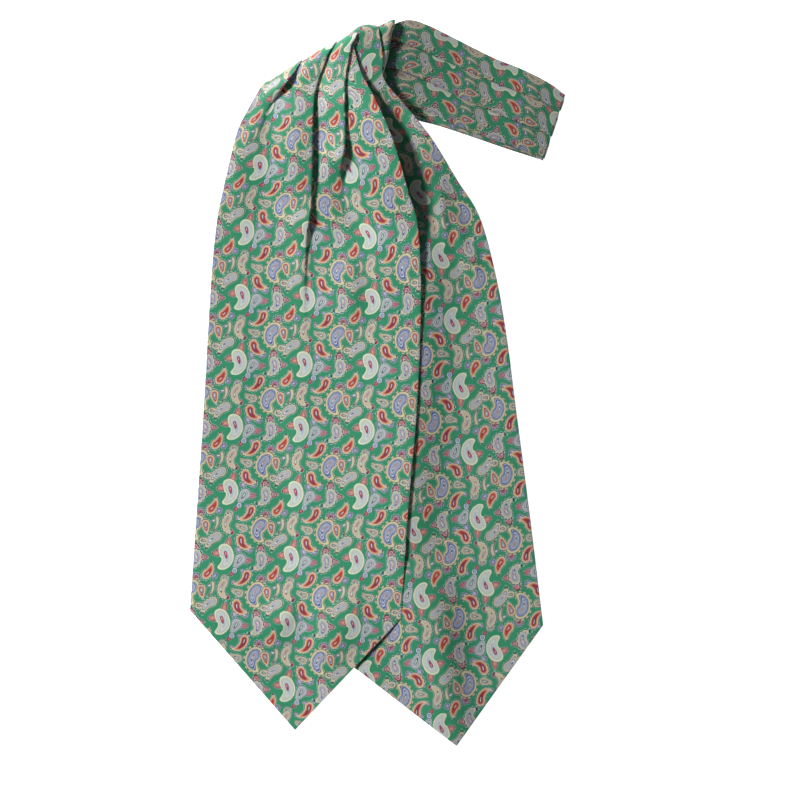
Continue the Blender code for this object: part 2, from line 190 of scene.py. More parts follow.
# a bow curves the section in the plan, and a lift raises its right end
Section = namedtuple("Section", "left_x left_y right_x right_y bow lift", defaults=(0.0, 0.0))
# a fold's edge lies so far from the left end, and its tuck goes back under by so much; a turn
# of 1 is a half circle, and 0 a pleat that has opened out
Fold = namedtuple("Fold", "edge tuck turn", defaults=(1.0,))


def table(kind, *rows):
    return [kind(*row) for row in rows]


print("flat cloth", CLOTH_WIDTH, "mm wide, the rear blade", round(REAR_NECK_LEVEL, 1), "mm up")

# %% The front blade's sections and pleats, from the neck to its shoulders
FRONT_SECTIONS = table(
    Section,
    (-84.4, 204.6, -18.5, 236.6, 0.8),
    (-92, 191.3, -13, 217.2, 1, 2),
    (-99, 177.3, -4.6, 201.1, 0.5, 5),
    (-104.6, 156.3, 7, 175.9, 0, 8),
    (-109.6, 134.6, 14.7, 152.8, 0, 8),
    (-113.4, 116.4, 20.6, 131.8, 0, 6),
    (-116.2, 93.3, 26.2, 112.6, 0, 4),
    (-118.3, 65.3, 28.8, 77.9, 0, 1.6),
    (-120.4, 30.3, 28.4, 33.1, 0, 0.2),
    (-123.6, -25.7, 25.5, -26.4, 0, 0.3),
    (-127.7, -85.2, 20, -88.7, 0, 0.2),
    (-132.6, -158.7, 15, -164.3, 0, 0.2),
)
FRONT_TIP = (-59.2, -242.7)
FRONT_FOLDS = [table(Fold, *row) for row in (
    ((28.5, 6), (53.5, 11), (71.8, 8)),
    ((19.5, 0.5, 0.25), (51.2, 11.5), (72.3, 10)),
    ((18, 0.5, 0.08), (54.8, 10), (77.3, 8.5)),
    ((19, 0.5, 0), (59, 7.5), (82.1, 3.6)),
    ((25, 0.5, 0), (63.3, 5), (84.5, 0.5, 0.3)),
    ((33, 0.5, 0), (66.1, 3.2), (88, 0.5, 0.06)),
    ((42, 0.5, 0), (66.5, 0.6, 0.42), (92, 0.5, 0)),
    ((49, 0.5, 0), (66.8, 0.5, 0.12), (96, 0.5, 0)),
    ((53, 0.5, 0), (69.5, 0.5, 0.03), (100, 0.5, 0)),
    ((64.5, 0.5, 0), (80, 0.5, 0), (106, 0.5, 0)),
    ((75.5, 0.5, 0), (91, 0.5, 0), (112, 0.5, 0)),
    ((89, 0.5, 0), (104, 0.5, 0), (122, 0.5, 0)),
)]
print("front blade:", len(FRONT_SECTIONS), "sections,", len(FRONT_FOLDS[0]), "pleats")

# %% The rear blade, and the strip of its next pleat at the neck
REAR_SECTIONS = table(
    Section,
    (-19.8, 239, 0.1, 243.9, 3.3),
    (-24, 222, 2.4, 228.5, 1.5),
    (-40.2, 201.8, 3.2, 212.3),
    (-48.6, 185.7, 16.4, 195.9),
    (-55.6, 163.3, 36, 171.7),
    (-60.6, 128.3, 54.2, 142.3),
    (-62.6, 93.3, 70.4, 115.7),
    (-59.8, 48.5, 82.2, 72.3),
    (-55.6, 2.3, 89.9, 26.8),
    (-51.4, -30.6, 94.8, -11.7),
    (-41.6, -109.7, 105, -90.1),
    (-31.8, -188.1, 114.6, -169.2),
)
REAR_TIP = (53.9, -253.9)
NECK_PLEAT_SECTIONS = table(
    Section,
    (-4.2, 242.6, 10.1, 249.4),
    (-6.4, 236.1, 8, 242.4),
    (-6.6, 229.1, 6.4, 231.2),
    (-7.4, 220.7, 4.6, 223.5),
    (-7.4, 210.9, 1, 212.3),
)
print("rear blade:", len(REAR_SECTIONS), "sections, strip:", len(NECK_PLEAT_SECTIONS))

# %% The neckband: its upper run's sections go from its top edge down to its lower one
TOP_RUN_SECTIONS = table(
    Section,
    (129.2, 202.2, 113.4, 156.2),
    (118, 210.4, 106, 159.1),
    (98.4, 220.2, 90.6, 164.4),
    (78.8, 228.1, 73.1, 170),
    (55.4, 239.8, 51.4, 177.3),
    (35.3, 249.8, 33.9, 183.6),
    (22, 254, 22, 188.2),
    (12.2, 252, 7.4, 195.5),
    (5.9, 247.3, 0.4, 198.3),
)
TOP_RUN_FOLDS = [table(Fold, *row) for row in (
    ((11.3, 5.5), (30.3, 10.5), (46.6, 8.5)),
    ((13.9, 6.5), (33.4, 10.5), (50.6, 9)),
    ((15.9, 8), (36.5, 11), (54, 9.5)),
    ((16.2, 8.5), (36.3, 11), (55.6, 10.5)),
    ((17.9, 9.5), (38, 11), (58.2, 11)),
    ((19.1, 10), (38.9, 11), (59.6, 11)),
    ((18.2, 10), (38.4, 11), (58.6, 11)),
    ((12.4, 5.5), (31.3, 10.5), (50.2, 10.5)),
    ((10, 4), (26, 8), (42, 8)),
)]
Ring = namedtuple("Ring", "upper_x upper_y lower_x lower_y height")
LOWER_RUN_RINGS = table(
    Ring,
    (-72.4, 201.8, -76.6, 194.1, 1.4),
    (-55.6, 212.3, -58.4, 187.1, 4.6),
    (-38.2, 220, -40.2, 191.3, 5.8),
    (-19.2, 222.5, -17.8, 189.9, 6.6),
    (-6.9, 227, -6.2, 189.9, 6.6),
    (-2.4, 233, -1, 189.9, 2),
    (11.5, 246.5, 14.4, 189, 2),
    (27, 248.5, 26.9, 183.8, 2),
    (42.3, 242.4, 42.3, 179.9, 2),
    (73.8, 226.3, 68.9, 171, 2),
    (94.8, 215.8, 88.6, 164.2, 2),
    (122.8, 201.1, 111, 157, 2),
)
print("neckband:", len(TOP_RUN_SECTIONS), "sections above,", len(LOWER_RUN_RINGS), "rings below")

# %% [markdown]
# ## Heights of the heap
#
# Where layers lie on each other the cloth rides higher. These functions give the height of
# each piece's cloth at a place on the table: high on the pleated neckband, coming down in a
# soft slope to the table, and lower towards the left border, where less lies underneath.

# %% Height functions
BAND_EDGE_POINT = (26.9, 183.6)  # on the neckband's lower edge
BAND_DIRECTION = (0.952, -0.305)  # and the way that the edge runs
# the y and x of the left edge of what lies under the front blade
HEAP_EDGE = ((-254, -28), (-188, -36), (-110, -45.5), (-30, -55), (48, -63.5), (93, -68),
             (128, -65), (163, -59.5), (200, -60), (240, -54))


def smooth(value):
    """0 to 1 with soft ends."""
    value = min(max(value, 0.0), 1.0)
    return value * value * (3.0 - 2.0 * value)


def beyond_band(x, y):
    """How far a point lies past the neckband's lower edge, towards the blades' points."""
    along_x, along_y = BAND_DIRECTION
    return (x - BAND_EDGE_POINT[0]) * along_y - (y - BAND_EDGE_POINT[1]) * along_x


def blade_height(x, y, fall_length):
    """A blade comes down past the neckband, and lies lower towards the left."""
    fall = 1.0 - smooth(beyond_band(x, y) / fall_length)
    lean = LEAN_LEAST + (1.0 - LEAN_LEAST) * smooth((x - LEAN_FROM) / LEAN_WIDTH)
    return FLOOR_LEVEL + (REAR_NECK_LEVEL - FLOOR_LEVEL) * fall * lean


def front_height(x, y):
    heap_edge_x = float(np.interp(y, *zip(*HEAP_EDGE)))
    onto_rear = LAYER * smooth((x - heap_edge_x + RAMP_WIDTH) / RAMP_WIDTH)
    return blade_height(x, y, FRONT_FALL) + onto_rear


def top_run_height(x, y):
    """The band's upper run sinks a little where it is pressed at its right end."""
    return TOP_RUN_LEVEL - BAND_END_DROP * smooth((x - BAND_END_FROM) / BAND_END_LENGTH)


print("front blade at the neck", round(front_height(-20.0, 220.0), 1), "mm up")

# %% [markdown]
# ## Creases placed one by one
#
# Pressed silk is never quite flat. Each crease here is a soft ridge or trough along a curve
# through three points, with its own height, and a width to either side, as it would be seen
# by somebody who walks from its first point to its last. Cloth laid down by hand has hardly
# two alike. It is thin, so every ridge is a trough underneath.

# %% Crease table and its function
Crease = namedtuple("Crease", "x1 y1 x2 y2 x3 y3 left right height")
CREASE_STEPS = 14
CREASE_END = 0.01  # the ends, where a crease stays faint
CREASE_FADE = 0.7  # under 1, so that it keeps its height for most of its length


def crease_height(creases, points):
    """The height that the creases add at each of the points, an array of x and y."""
    total = np.zeros(len(points))
    for crease in creases:
        t = np.linspace(0.0, 1.0, CREASE_STEPS)[:, None]
        start, middle, end = (np.array(crease[i:i + 2]) for i in (0, 2, 4))
        handle = 2 * middle - (start + end) / 2
        path = (1 - t) ** 2 * start + 2 * t * (1 - t) * handle + t ** 2 * end
        nearest = np.full(len(points), np.inf)
        share = np.zeros(len(points))
        width = np.full(len(points), float(crease.left))
        for i, (a, b) in enumerate(zip(path, path[1:])):
            step = b - a
            away = points - a
            s = np.clip((away @ step) / (step @ step), 0.0, 1.0)
            distance = np.linalg.norm(away - s[:, None] * step, axis=1)
            closer = distance < nearest
            on_left = step[0] * away[:, 1] > step[1] * away[:, 0]
            width[closer] = np.where(on_left, crease.left, crease.right)[closer]
            share[closer] = (i + s[closer]) / (CREASE_STEPS - 1)
            nearest = np.minimum(nearest, distance)
        fade = np.sin(math.pi * np.clip(share, CREASE_END, 1 - CREASE_END)) ** CREASE_FADE
        total += crease.height * fade * np.exp(-(nearest / width) ** 2)
    return total

# %% [markdown]
# ## From a table of sections to a sheet of cloth
#
# A pleat is walked through as an ant would walk it: level, over the edge, back under along
# the tuck, and forward again. The length walked is also kept, because it is the distance
# across the flat cloth, and the print needs it.

# %% Between the rows of a table
def between(column, position):
    """A value between those of a table's column, on a smooth curve through them."""
    last = len(column) - 1
    index = min(int(position), last - 1)
    t = position - index
    before, start, end, after = (column[min(max(i, 0), last)]
                                 for i in (index - 1, index, index + 1, index + 2))
    slope_start = (end - before) / (2.0 if index > 0 else 1.0)
    slope_end = (after - start) / (2.0 if index + 2 <= last else 1.0)
    return ((2 * t ** 3 - 3 * t ** 2 + 1) * start + (t ** 3 - 2 * t ** 2 + t) * slope_start
            + (3 * t ** 2 - 2 * t ** 3) * end + (t ** 3 - t ** 2) * slope_end)


def row_at(rows, position):
    """The row at a position in between, of the same kind as the table's rows."""
    return type(rows[0])(*(between(column, position) for column in zip(*rows)))


def folds_at(rows, position):
    """The folds at a position, where each row holds one fold for each pleat."""
    return [row_at(pleat, position) for pleat in zip(*rows)]

# %% Across one section, through its pleats
TURN_STEPS = 7
TUCK_STEPS = 4
CLIMB_STEPS = 6
PANEL_STEPS = 14
LAST_PANEL_STEPS = 18
TUCKED = 12.0  # mm of tuck that take up nothing; twice as much takes up all


def run(path, end, steps):
    """Adds a straight stretch of the path in steps."""
    (x0, z0), (x1, z1) = path[-1], end
    for i in range(1, steps + 1):
        path.append((x0 + (x1 - x0) * i / steps, z0 + (z1 - z0) * i / steps))


def pleated_path(width, folds, fold_radius):
    """Each column's place across and its height, and the pleat that hides it, or 0."""
    path = [(0.0, 0.0)]
    tucked = [0]
    start = 0.0
    last_edge = 0.0
    for number, fold in enumerate(folds, 1):
        angle = max(math.pi * fold.turn, FLATTEST_TURN)
        radius = math.pi * fold_radius / angle
        fold_start = fold.edge - radius * math.sin(min(angle, math.pi / 2))
        drop = 2 * radius * (1 - math.cos(angle)) + fold.tuck * math.sin(angle)
        inner_turn = fold_start + min(fold.tuck * math.cos(angle), 0.0)
        clear = last_edge + LAYER if last_edge else inner_turn - CLIMB
        climb_start = max(clear, start + COLUMN_GAP)
        climb_end = min(climb_start + CLIMB, inner_turn, fold_start - CREST)
        climb_start = min(climb_start, climb_end - SHORTEST_CLIMB)
        run(path, (climb_start, 0.0), PANEL_STEPS)
        for i in range(1, CLIMB_STEPS + 1):
            share = i / CLIMB_STEPS
            path.append((climb_start + share * (climb_end - climb_start), drop * smooth(share)))
        run(path, (fold_start, drop), CLIMB_STEPS)
        tucked += [0] * (len(path) - len(tucked))
        for i in range(1, TURN_STEPS + 1):
            heading = angle * i / TURN_STEPS
            path.append((fold_start + radius * math.sin(heading),
                         drop - radius * (1 - math.cos(heading))))
        tucked += [0] * TURN_STEPS
        across, height = path[-1]
        across += fold.tuck * math.cos(angle)
        height -= fold.tuck * math.sin(angle)
        run(path, (across, height), TUCK_STEPS)
        tucked += [number] * TUCK_STEPS
        for i in range(1, TURN_STEPS + 1):
            heading = angle * (1 - i / TURN_STEPS)
            path.append((across + radius * (math.sin(angle) - math.sin(heading)),
                         height - radius * (math.cos(heading) - math.cos(angle))))
        tucked += [number] * TURN_STEPS
        start = path[-1][0]
        last_edge = fold.edge
    run(path, (max(start, last_edge) + COLUMN_GAP, 0.0), 1)
    run(path, (width, 0.0), LAST_PANEL_STEPS)
    tucked += [0] * (len(path) - len(tucked))
    return path, tucked


def flat_across(path, tucked, first, flat_width, extra):
    """Each column's place on the flat cloth. What is over goes into the tucks, and where no
    tuck is left it is spread over the width."""
    lengths = [math.dist(a, b) for a, b in zip(path, path[1:])]
    hidden = [sum(length for length, pleat in zip(lengths, tucked[1:]) if pleat == number)
              for number in (1, 2, 3)]
    in_tucks = smooth((sum(hidden) - TUCKED) / TUCKED)
    over = flat_width - sum(lengths)
    even_scale = 1 + (1 - in_tucks) * over / sum(lengths)
    tuck_scales = [1 + (in_tucks * over / sum(hidden) + more / length if length else 0.0)
                   for length, more in zip(hidden, extra)]
    across = [first]
    for length, pleat in zip(lengths, tucked[1:]):
        tuck_scale = tuck_scales[pleat - 1] if pleat else 1.0
        across.append(across[-1] + length * even_scale * tuck_scale)
    return across

# %% Rows of points, and rolls
# a roll's lowest height, how far it turns, and how many radii it slips along its axis
Roll = namedtuple("Roll", "low sweep slip steps")
ROLL_SPREAD = 0.4  # how far the layers of a pleat part where it rolls under
TIP_STEPS = 44
TIP_REACH = 1.05  # the rows run on past the point, which is then cut


def plan_frame(section):
    """The section's left end, its width, and the plan directions along it and across it."""
    left = Vector((section.left_x, section.left_y))
    along = Vector((section.right_x, section.right_y)) - left
    width = along.length
    along.normalize()
    return left, width, along, Vector((-along.y, along.x))


def cloth_row(section, path, height):
    """The points of one row: the path laid along the section, at the cloth's height."""
    left, width, along, outward = plan_frame(section)
    row = []
    for across, rise in path:
        share = across / width
        plan = left + along * across + outward * (section.bow * 4 * share * (1 - share))
        lift = section.lift * smooth((share - LIFT_FROM) / (1 - LIFT_FROM))
        row.append(Vector((plan.x, plan.y, height(plan.x, plan.y) + lift + rise)))
    return row


def roll_rows(section, path, first_row, roll):
    """Rows that turn under about an axis along the first section, farthest first."""
    along, outward = plan_frame(section)[2:]
    rows = []
    for step in range(roll.steps, 0, -1):
        angle = roll.sweep * step / roll.steps
        row = []
        for (across, rise), point in zip(path, first_row):
            radius = (point.z - rise - roll.low(across)) / 2
            plan = (point.xy + outward * ((radius + ROLL_SPREAD * rise) * math.sin(angle))
                    + along * (roll.slip * radius * math.sin(min(angle, math.pi / 2))))
            up = point.z - (radius + rise) * (1 - math.cos(angle))
            row.append(Vector((plan.x, plan.y, up)))
        rows.append(row)
    return rows


def as_array(rows):
    return np.array([[tuple(point) for point in row] for row in rows])

# %% A sheet from its rows
# How the print lies: right = side * (flat distance across - across), and down grows from the
# point (x, y) in the plan direction (down_x, down_y).
PrintLay = namedtuple("PrintLay", "across side x y down_x down_y")


def lay_sheet(sections, height, paths, per_section, flat_width, print_lay, roll=None, tip=None,
              creases=(), extra=lambda position: (0.0, 0.0, 0.0),
              drift=lambda position, across: 0.0):
    """One stretch of cloth, as a grid laid onto its rows. drift moves the print down."""
    rows, across, drifts = [], [], []
    for step in range((len(sections) - 1) * per_section + 1):
        position = step / per_section
        section = row_at(sections, position)
        width = plan_frame(section)[1]
        path, tucked = paths(position, width)
        rows.append(cloth_row(section, path, height))
        across.append(flat_across(path, tucked, *flat_width(width), extra(position)))
        drifts.append([drift(position, value) for value in across[-1]])
        if step == 0:
            first_path = path
    if tip:
        left, width, direction = plan_frame(section)[:3]
        reach = Vector(tip) - left - direction * (width / 2)
        for step in range(1, TIP_STEPS + 1):
            shift = reach * (TIP_REACH * step / TIP_STEPS)
            moved = Section(section.left_x + shift.x, section.left_y + shift.y,
                            section.right_x + shift.x, section.right_y + shift.y, *section[4:])
            rows.append(cloth_row(moved, path, height))
            across.append(across[-1])
            drifts.append(drifts[-1])
    down = [[(point.x - print_lay.x) * print_lay.down_x
             + (point.y - print_lay.y) * print_lay.down_y + more
             for point, more in zip(row, values)] for row, values in zip(rows, drifts)]
    if roll:
        outward = plan_frame(sections[0])[3]
        pull = outward.x * print_lay.down_x + outward.y * print_lay.down_y
        depth = max(point.z for point in rows[0]) - FLOOR_LEVEL
        for step in range(1, roll.steps + 1):
            arc = depth / 2 * roll.sweep * step / roll.steps
            down.insert(0, [value + pull * arc for value in down[step - 1]])
        rows = roll_rows(sections[0], first_path, rows[0], roll) + rows
        across = [across[0]] * roll.steps + across
    points = as_array(rows)
    if creases:
        flat_points = points.reshape(-1, 3)
        flat_points[:, 2] += crease_height(creases, flat_points[:, :2])
    right = [[print_lay.side * (value - print_lay.across) for value in row] for row in across]
    return grid_mesh(points, right, down)


def grid_mesh(points, right, down):
    """A grid whose vertices are laid onto the points, with its UV map in mm of flat cloth."""
    row_count, columns = points.shape[:2]
    sheet = bmesh.new()
    bmesh.ops.create_grid(sheet, x_segments=columns - 1, y_segments=row_count - 1, size=1.0)
    cloth_map = sheet.loops.layers.uv.new("cloth")
    places = {}
    for vertex in sheet.verts:
        column = round((vertex.co.x + 1) / 2 * (columns - 1))
        row = round((1 - vertex.co.y) / 2 * (row_count - 1))
        vertex.co = Vector(points[row, column]) * MM
        places[vertex.index] = (right[row][column], down[row][column])
    for face in sheet.faces:
        for loop in face.loops:
            loop[cloth_map].uv = places[loop.vert.index]
    return sheet

# %% From a sheet to a piece
CUT_DISTANCE = 1e-7  # m: a vertex this near to the cut is on it
EDGE_WIDTH = 0.3  # share of the thickness that is rounded off
EDGE_ANGLE = 70  # degrees


def cut_to_point(sheet, section, tip):
    """Cut a blade's end along the two straight edges that meet at its point."""
    point = Vector((tip[0], tip[1], 0.0))
    corners = (Vector((section.left_x, section.left_y, 0.0)),
               Vector((section.right_x, section.right_y, 0.0)))
    for corner, side in zip(corners, (1, -1)):
        edge = point - corner
        outward = Vector((edge.y, -edge.x, 0.0)) * side
        bmesh.ops.bisect_plane(sheet, geom=sheet.verts[:] + sheet.edges[:] + sheet.faces[:],
                               dist=CUT_DISTANCE, plane_co=corner * MM, plane_no=outward,
                               clear_outer=True)


def finish_cloth(name, sheet, material, node, thickness=CLOTH):
    """The sheet becomes a piece: a thin wall with soft edges, in place of its CAD solid."""
    mesh = bpy.data.meshes.new(name)
    sheet.to_mesh(mesh)
    sheet.free()
    mesh.shade_smooth()
    mesh.materials.append(material)
    piece = bpy.data.objects.new(name, mesh)
    scene.collection.objects.link(piece)
    if thickness:
        wall = piece.modifiers.new("two_layers", "SOLIDIFY")
        wall.thickness = thickness * MM
        wall.offset = 0.0
        edge = piece.modifiers.new("pressed_edge", "BEVEL")
        edge.width = EDGE_WIDTH * thickness * MM
        edge.segments = 2
        edge.limit_method = "ANGLE"
        edge.angle_limit = math.radians(EDGE_ANGLE)
    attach(piece, "root")
    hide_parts(node)
    print(name, "has", len(mesh.polygons), "faces")
    return piece

# %% [markdown]
# ## The paisley print
#
# The print is drawn by the material, so it stays sharp from near by. It lies on the UV map that
# holds the flat cloth in mm, and repeats every 45.7 mm both ways. A paisley is a round head
# with a tail that bends to one side: its spine is part of a circle. Along the spine the shape
# is a simple teardrop, whose level runs from 0 in the heart to 1 at the outline. A colour ramp
# on the level gives the rings, and the outer ones can be broken into a fringe's lobes.

# %% One paisley as a node group
REPEAT = 45.7
FRINGE_START = 0.70  # the level where a fringe's lobes begin
LOBE_EDGE = 0.1  # a lobe's wave, from -1 to 1, leaves a gap under this
SHAPE = ("Bend", "Head", "Tail", "Taper", "Heart", "Lobe", "Fringe")


def paisley_group():
    tree = bpy.data.node_groups.new("paisley", "ShaderNodeTree")
    for name in ("Cloth", "Place"):
        tree.interface.new_socket(name, in_out="INPUT", socket_type="NodeSocketVector")
    for name in ("Turn", *SHAPE):
        tree.interface.new_socket(name, in_out="INPUT", socket_type="NodeSocketFloat")
    tree.interface.new_socket("Level", in_out="OUTPUT", socket_type="NodeSocketFloat")
    given = tree.nodes.new("NodeGroupInput").outputs
    result = tree.nodes.new("NodeGroupOutput")

    def maths(operation, a, b=0.0, c=0.0):
        return add_node(tree, "Math", {"operation": operation}, i0=a, i1=b, i2=c).outputs[0]

    def length(x, y):
        spot = add_node(tree, "CombineXYZ", X=x, Y=y).outputs[0]
        return add_node(tree, "VectorMath", {"operation": "LENGTH"}, i0=spot).outputs["Value"]

    # the nearest copy of the motif in the repeat, turned so that its tail starts downwards
    away = add_node(tree, "VectorMath", {"operation": "SUBTRACT"},
                    i0=given["Cloth"], i1=given["Place"]).outputs[0]
    half = REPEAT / 2
    tile = add_node(tree, "VectorMath", {"operation": "WRAP"},
                    i0=away, i1=(half, half, 1.0), i2=(-half, -half, -1.0)).outputs[0]
    turned = add_node(tree, "VectorRotate", {"rotation_type": "Z_AXIS"},
                      Vector=tile, Angle=given["Turn"]).outputs[0]
    parts = add_node(tree, "SeparateXYZ", Vector=turned).outputs
    # along the bent spine, and across it
    radius = maths("ABSOLUTE", given["Bend"])
    inward = maths("SUBTRACT", radius, maths("MULTIPLY", parts["X"],
                                             maths("SIGN", given["Bend"])))
    along = maths("MULTIPLY", maths("ARCTAN2", parts["Y"], inward), radius)
    across = maths("SUBTRACT", radius, length(inward, parts["Y"]))
    # the teardrop's level
    down_tail = maths("MAXIMUM", maths("DIVIDE", along, given["Tail"]), 0.0)
    up_head = maths("DIVIDE", along, maths("MULTIPLY", given["Head"], -1.0))
    lengthwise = maths("MAXIMUM", maths("POWER", down_tail, given["Heart"]), up_head)
    narrowing = maths("SUBTRACT", 1.0, maths("MULTIPLY", down_tail, given["Taper"]))
    crosswise = maths("DIVIDE", across, maths("MULTIPLY", narrowing, given["Head"]))
    level = length(crosswise, lengthwise)
    # the fringe's lobes follow the outline: round the head, then down the tail
    round_head = maths("ARCTAN2", maths("MULTIPLY", along, -1.0), maths("ABSOLUTE", across))
    outline = maths("SUBTRACT", maths("MAXIMUM", along, 0.0),
                    maths("MULTIPLY", maths("MAXIMUM", round_head, 0.0), given["Head"]))
    wave = maths("COSINE", maths("MULTIPLY", maths("DIVIDE", outline, given["Lobe"]), math.tau))
    between_lobes = maths("MULTIPLY", maths("LESS_THAN", wave, LOBE_EDGE),
                          maths("GREATER_THAN", level, FRINGE_START))
    gap = maths("MULTIPLY", between_lobes, given["Fringe"])
    tree.links.new(maths("ADD", level, gap), result.inputs["Level"])
    return tree


paisley = paisley_group()
print("the paisley group has", len(paisley.nodes), "nodes")

# %% [markdown]
# ### The motifs of one repeat
#
# Eleven paisleys and leaves share a tile with buds and sprigs between them. A row says where
# the head is, which way the tail points in degrees (0 is down, and it turns towards the right),
# and the radius that it bends on, with a sign for the side. Then come the head's and the tail's
# length, how the tail narrows and ends, and the fringe's lobes. The rings go outwards: an ink,
# the level where the next one begins, and so on. Later rows lie on top.

# %% The inks and the motif table
INKS = {
    "ivory": "#D8DCC0", "cream": "#CDC5A2", "pale": "#D2DADA", "ash": "#AEB4A2",
    "mist": "#B0B8C6", "lilac": "#8F86A0", "blue": "#50609E", "navy": "#2C2E54",
    "red": "#B43F3E", "crimson": "#953646", "orange": "#C67A5E", "peach": "#D2AC86",
    "sage": "#8FA490", "purple": "#65507A",
    "pink": "#BD7A80", "wine": "#522A3A", "olive": "#70785C", "shell": "#C6CECA",
}
Motif = namedtuple("Motif", "name right down turn bend head tail taper lobe rings heart fringe",
                   defaults=(2.0, 0.2))
MOTIFS = table(
    Motif,
    # buds and sprigs lie under the paisleys they grow from
    ("bud_over_white", 0.6, -10.2, 170, 90, 2.8, 5.2, 0.4, 1.7,
     "peach .18 red .4 pale .48 crimson .72 wine .92 pale"),
    ("bud_beside_white", -6.8, -3.2, -80, 90, 3.1, 3.8, 0.4, 1.7,
     "peach .2 red .4 pale .48 crimson .72 wine .92 pale"),
    ("bud_beside_ring", 14.4, 1.5, 95, 90, 2.9, 3.9, 0.4, 1.7,
     "pink .25 crimson .45 pale .52 crimson .7 navy .92 pale"),
    ("white_tail_bud", 4.4, 10.8, -35, 90, 1.9, 2.6, 0.4, 1.6,
     "pink .3 crimson .62 wine .92 pale"),
    ("violet_top_bud", 23.6, -5.9, 188, 90, 3.6, 4.3, 0.2, 1.8,
     "pink .2 crimson .34 pale .43 crimson .68 wine .92 pale"),
    ("violet_side_bud", 28, 0.1, 88, 90, 3.2, 5.4, 0.5, 1.7,
     "pink .2 crimson .34 pale .43 crimson .68 wine .92 pale"),
    ("flower", 25.2, 14.3, 0, 90, 3.8, 3.6, 0, 2.2,
     "wine .17 pink .3 crimson .46 mist .58 purple .72 navy .92 pale"),
    ("sprig_under_red", 7.9, -6.3, 30, 90, 2.6, 2.8, 0, 1.8,
     "mist .34 blue .46 lilac .68 navy .92 pale"),
    ("sprig_beside_red", 15.8, -6.2, -60, 90, 2.5, 2.9, 0, 1.8,
     "mist .31 blue .46 lilac .68 navy .92 pale"),
    ("sprig_by_drop", 38.6, 12.6, -40, 90, 2.4, 2.9, 0, 1.8,
     "mist .26 blue .46 lilac .68 navy .92 pale"),
    ("scroll_by_sickle", 5.6, 16.6, 60, 90, 1.6, 2.6, 0.3, 1.5,
     "mist .35 wine .62 mist .9 wine"),
    ("scroll_over_sickle", 11.3, 8.6, 80, 90, 1.5, 2.8, 0.3, 1.5,
     "mist .35 purple .62 mist .9 navy"),
    ("scroll_by_eye", 5.8, 22, 40, 90, 1.3, 2.6, 0.3, 1.5,
     "purple .35 cream .62 wine .9 cream"),
    ("scroll_by_drop", 34.6, 20, 110, 90, 1.5, 2.8, 0.3, 1.5,
     "pale .35 navy .62 mist .9 navy"),
    ("dotted_tail", 37.3, 18, 21, -7.7, 2, 11.6, 0.3, 1.9,
     "cream .27 ash .5 olive .66 wine .92 pale"),
    ("leaf_cap", -0.6, 14.4, 80, 90, 2.9, 3.4, 0, 1.7,
     "pale .22 wine .4 ash .7 wine .92 pale"),
    ("leaf_foot", 2, 27, 30, 90, 2.1, 2.9, 0, 1.6,
     "red .41 crimson .66 wine .92 pale"),
    ("leaf_scroll", 29.2, -11.4, -90, 90, 2.9, 3.3, 0, 1.7,
     "ash .18 purple .35 cream .7 wine .92 pale"),
    # the paisleys
    ("ringed_blue", 9.7, 0.4, -32, 90, 4.6, 9.4, 0.75, 1.8,
     "pale .1 navy .2 sage .3 pale .4 navy .49 pale .6 lilac .68 pale .76 navy "
     ".92 pale", 1.8),
    ("tail_ring", 6.3, 8.5, 0, 90, 2.1, 2.1, 0, 1.2,
     "mist .25 blue .5 pale .8 navy", 2, 0),
    ("white_paisley", -1.3, -4.4, 47, -6.4, 5.1, 15.4, 0.44, 1.6,
     "mist .26 shell .5 ash .57 shell .7 ash .78 ivory", 2.3, 0),
    ("white_heart", -1, -3.6, 24, -12, 1.5, 5.2, 0.3, 1.2,
     "pale .14 red .52 purple .8 shell", 1.9, 0),
    ("red_comma", 9.3, -13.4, -4, 5.1, 4.6, 12.6, 0.5, 1.9,
     "pale .07 purple .13 crimson .36 orange .5 peach .64 cream .74 wine .92 pale", 1.8),
    ("violet_paisley", 24.1, -1.3, 32, -5.2, 5, 14, 0.5, 2,
     "pale .08 crimson .14 pale .2 purple .3 mist .44 sage .5 ash .57 cream "
     ".73 navy .92 pale", 1.7),
    ("blue_paisley", 22.6, 21.7, -55, 6.2, 7, 17.5, 0.5, 2.1,
     "crimson .05 pale .1 navy .15 mist .24 blue .3 pale .35 blue .46 mist "
     ".51 navy .56 cream .75 olive .82 cream .95 wine", 1.7),
    ("orange_drop", 29.5, 22.4, 9, 60, 3.9, 8, 0.6, 1.9,
     "pale .1 navy .2 pale .26 crimson .4 orange .48 peach .6 cream .73 wine "
     ".92 pale", 1.8),
    ("pale_leaf", 38.1, -14.8, -73, 9.7, 4.1, 13.2, 0.3, 1.9,
     "pale .08 navy .17 pale .27 lilac .36 pale .44 wine .5 ash .58 cream .73 wine "
     ".92 pale", 1.9),
    ("red_drop", 32.4, 12.1, 129, 8.5, 4.3, 11, 0.6, 1.9,
     "pale .07 wine .12 red .36 orange .5 peach .63 cream .74 wine .92 pale", 1.8),
    ("red_sickle", 15, 11.2, -3, -7.3, 4.2, 14.4, 0.6, 1.9,
     "pale .06 navy .12 crimson .36 orange .49 peach .63 cream .74 wine .92 pale", 1.8),
    ("spotted_leaf", -0.5, 17.6, -46, 6.2, 3.7, 15, 0.2, 1.9,
     "crimson .1 pale .2 wine .27 cream .38 pink .42 cream .5 ash .58 cream "
     ".72 wine .92 pale", 1.9),
    ("small_eye", 10.7, 24.6, -116, 15, 3.5, 6.8, 0.6, 1.8,
     "pale .12 navy .26 cream .4 wine .46 ash .58 cream .72 navy .92 pale"),
)

